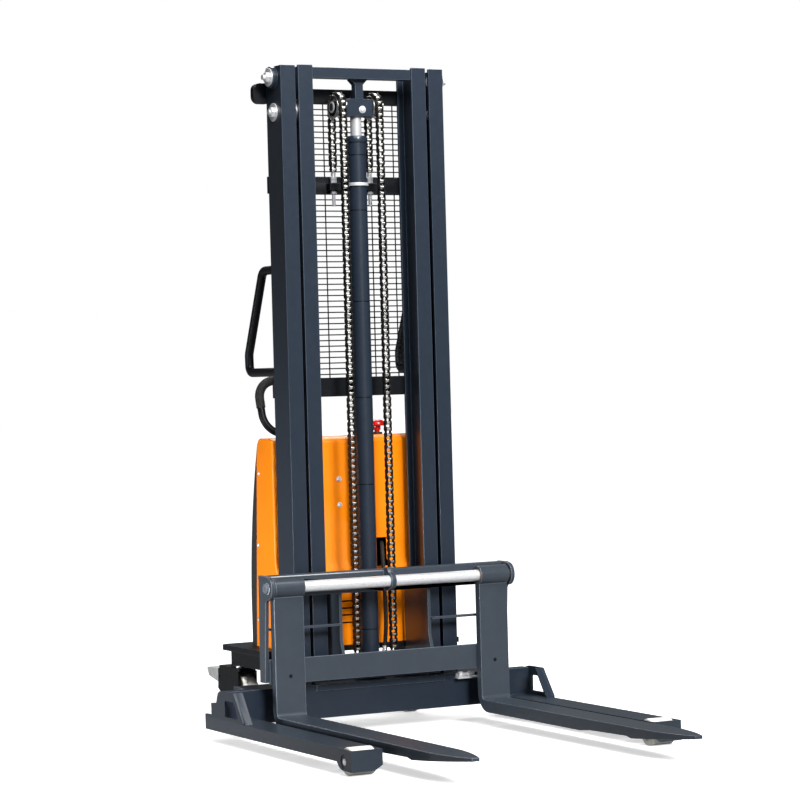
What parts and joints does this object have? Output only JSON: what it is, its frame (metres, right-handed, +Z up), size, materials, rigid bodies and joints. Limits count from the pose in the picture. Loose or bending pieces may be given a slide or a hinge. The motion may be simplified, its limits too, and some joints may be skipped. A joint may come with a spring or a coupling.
{
  "type": "walkie stacker",
  "caption": "Semi-electric straddle stacker with a two-stage chain-lift mast, shaft-hung sliding forks, straddle legs, rear power pack, braked casters and a tiller.",
  "frame": {"origin": "on the floor under the middle of the whole machine's box, casters and load wheels standing at Z 0", "axes": "+Z up along the mast, forks point along -Y, +X to the right when looking along the forks' back towards the mast from the fork tips"},
  "size_m": [1.086, 1.923, 2.083],
  "materials": {
    "frame_paint": "satin slate blue-grey paint",
    "fork_paint": "satin slate grey paint",
    "black_metal": "satin black paint",
    "orange_cover": "smooth satin orange",
    "black_plastic": "fine textured black",
    "zinc": "bright zinc",
    "chrome": "hard chrome",
    "steel": "ground steel",
    "chain_steel": "oiled dark steel",
    "bronze": "machined bronze",
    "nylon": "off-white nylon",
    "rubber": "matt rubber",
    "red_plastic": "glossy red",
    "battery_case": "moulded battery case",
    "tank_paint": "painted steel tank"
  },
  "bodies": {
    "chassis": {"base_beam": "frame_paint", "straddle_leg_left": "frame_paint", "straddle_leg_right": "frame_paint", "load_wheel_axles": "chrome", "leg_brackets": "frame_paint", "carriage_stop": "zinc", "outer_uprights": "frame_paint", "roller_axle_bolts": "zinc", "outer_ties": "black_metal", "mesh_guard": "black_metal", "lift_cylinder": "frame_paint", "cylinder_clamp": "chrome", "chain_anchor_rods": "zinc", "deck": "black_metal", "caster_mounts": "black_metal", "front_cover": "orange_cover", "rear_cover": "black_plastic", "cover_screws": "zinc", "console_panel": "black_plastic", "battery": "battery_case", "hydraulic_tank": "tank_paint", "pump_motor": "black_metal", "valve_block": "steel", "charger": "black_metal", "lift_hose": "rubber", "grab_handles": "black_metal"},
    "inner_mast": {"inner_uprights": "frame_paint", "piston_rod": "chrome", "rod_yoke": "frame_paint", "inner_cross_members": "frame_paint", "chain_rear_runs": "chain_steel"},
    "sheave_left": {"chain_sheave_left": "chain_steel"},
    "sheave_right": {"chain_sheave_right": "chain_steel"},
    "outer_rollers": {"outer_mast_rollers": "steel"},
    "inner_rollers": {"inner_mast_rollers": "steel"},
    "carriage": {"carriage_top_bar": "fork_paint", "carriage_lower_bar": "fork_paint", "carriage_end_plates": "fork_paint", "carriage_roller_frame": "fork_paint", "fork_shaft": "chrome", "chain_front_runs": "chain_steel"},
    "carriage_rollers_low": {"carriage_rollers_lower": "steel"},
    "carriage_rollers_high": {"carriage_rollers_upper": "steel"},
    "fork_slide_left": {"fork_sleeve_left": "bronze"},
    "fork_slide_right": {"fork_sleeve_right": "bronze"},
    "fork_arm_left": {"fork_left": "fork_paint"},
    "fork_arm_right": {"fork_right": "fork_paint"},
    "load_wheel_l": {"load_wheel_left": "nylon"},
    "load_wheel_r": {"load_wheel_right": "nylon"},
    "caster_l": {"caster_fork_left": "black_metal"},
    "caster_r": {"caster_fork_right": "black_metal"},
    "caster_roll_l": {"caster_wheel_left": "nylon"},
    "caster_roll_r": {"caster_wheel_right": "nylon"},
    "brake_l": {"brake_pedal_left": "zinc"},
    "brake_r": {"brake_pedal_right": "zinc"},
    "tiller": {"tiller_arm": "black_metal", "tiller_loop": "black_metal", "tiller_grips": "rubber"},
    "lever": {"lift_lever": "black_plastic"},
    "stop_button": {"emergency_switch": "red_plastic"}
  },
  "joints": [
    {"name": "mast_lift", "type": "slide", "parent": "chassis", "child": "inner_mast", "axis": [0, 0, 1], "range_m": [0, 1.455], "deforming": ["chain_rear_runs"]},
    {"name": "carriage_lift", "type": "slide", "parent": "inner_mast", "child": "carriage", "axis": [0, 0, 1], "range_m": [0, 1.455], "deforming": ["chain_front_runs"]},
    {"name": "sheave_left_spin", "type": "hinge", "parent": "inner_mast", "child": "sheave_left", "pos_m": [-0.064, 0.362, 1.958], "axis": [1, 0, 0], "continuous": true},
    {"name": "sheave_right_spin", "type": "hinge", "parent": "inner_mast", "child": "sheave_right", "pos_m": [0.064, 0.362, 1.958], "axis": [1, 0, 0], "continuous": true},
    {"name": "outer_rollers_spin", "type": "hinge", "parent": "chassis", "child": "outer_rollers", "pos_m": [0, 0.3595, 1.938], "axis": [1, 0, 0], "continuous": true},
    {"name": "inner_rollers_spin", "type": "hinge", "parent": "inner_mast", "child": "inner_rollers", "pos_m": [0, 0.3595, 0.214], "axis": [1, 0, 0], "continuous": true},
    {"name": "carriage_rollers_low_spin", "type": "hinge", "parent": "carriage", "child": "carriage_rollers_low", "pos_m": [0, 0.3595, 0.25], "axis": [1, 0, 0], "continuous": true},
    {"name": "carriage_rollers_high_spin", "type": "hinge", "parent": "carriage", "child": "carriage_rollers_high", "pos_m": [0, 0.3595, 0.43], "axis": [1, 0, 0], "continuous": true},
    {"name": "fork_left_spread", "type": "slide", "parent": "carriage", "child": "fork_slide_left", "axis": [1, 0, 0], "range_m": [0, 0.285]},
    {"name": "fork_left_tilt", "type": "hinge", "parent": "fork_slide_left", "child": "fork_arm_left", "pos_m": [-0.357, 0.205, 0.474], "axis": [-1, 0, 0], "range_deg": [0, 90]},
    {"name": "load_wheel_left_roll", "type": "hinge", "parent": "chassis", "child": "load_wheel_l", "pos_m": [-0.4945, -0.535, 0.04], "axis": [1, 0, 0], "continuous": true},
    {"name": "caster_left_swivel", "type": "hinge", "parent": "chassis", "child": "caster_l", "pos_m": [-0.294, 0.705, 0.187], "axis": [0, 0, 1], "continuous": true},
    {"name": "caster_left_roll", "type": "hinge", "parent": "caster_l", "child": "caster_roll_l", "pos_m": [-0.294, 0.673, 0.082], "axis": [1, 0, 0], "continuous": true},
    {"name": "brake_left_pedal", "type": "hinge", "parent": "caster_l", "child": "brake_l", "pos_m": [-0.294, 0.805, 0.152], "axis": [-1, 0, 0], "range_deg": [0, 12]},
    {"name": "fork_right_spread", "type": "slide", "parent": "carriage", "child": "fork_slide_right", "axis": [-1, 0, 0], "range_m": [0, 0.285]},
    {"name": "fork_right_tilt", "type": "hinge", "parent": "fork_slide_right", "child": "fork_arm_right", "pos_m": [0.357, 0.205, 0.474], "axis": [-1, 0, 0], "range_deg": [0, 90]},
    {"name": "load_wheel_right_roll", "type": "hinge", "parent": "chassis", "child": "load_wheel_r", "pos_m": [0.4945, -0.535, 0.04], "axis": [1, 0, 0], "continuous": true},
    {"name": "caster_right_swivel", "type": "hinge", "parent": "chassis", "child": "caster_r", "pos_m": [0.294, 0.705, 0.187], "axis": [0, 0, 1], "continuous": true},
    {"name": "caster_right_roll", "type": "hinge", "parent": "caster_r", "child": "caster_roll_r", "pos_m": [0.294, 0.673, 0.082], "axis": [1, 0, 0], "continuous": true},
    {"name": "brake_right_pedal", "type": "hinge", "parent": "caster_r", "child": "brake_r", "pos_m": [0.294, 0.805, 0.152], "axis": [-1, 0, 0], "range_deg": [0, 12]},
    {"name": "tiller_tilt", "type": "hinge", "parent": "chassis", "child": "tiller", "pos_m": [0, 0.673, 0.31], "axis": [1, 0, 0], "range_deg": [-40, 0], "stiffness_Nm_per_rad": 30, "springref_deg": 28.65},
    {"name": "lift_lever_tilt", "type": "hinge", "parent": "tiller", "child": "lever", "pos_m": [0, 0.9015, 0.948], "axis": [1, 0, 0], "range_deg": [-18, 18], "stiffness_Nm_per_rad": 1},
    {"name": "emergency_push", "type": "slide", "parent": "chassis", "child": "stop_button", "axis": [0, 0, -1], "range_m": [0, 0.004], "stiffness_N_per_m": 800, "springref_m": -0.002}
  ],
  "couplings": [
    {"joint": "carriage_lift", "follows": "mast_lift", "ratio": 1},
    {"joint": "sheave_left_spin", "follows": "mast_lift", "rad_per_m": -24.691},
    {"joint": "sheave_right_spin", "follows": "mast_lift", "rad_per_m": -24.691},
    {"joint": "outer_rollers_spin", "follows": "mast_lift", "rad_per_m": 23.148},
    {"joint": "inner_rollers_spin", "follows": "mast_lift", "rad_per_m": -22.624},
    {"joint": "carriage_rollers_low_spin", "follows": "mast_lift", "rad_per_m": -23.148},
    {"joint": "carriage_rollers_high_spin", "follows": "mast_lift", "rad_per_m": 23.148}
  ]
}
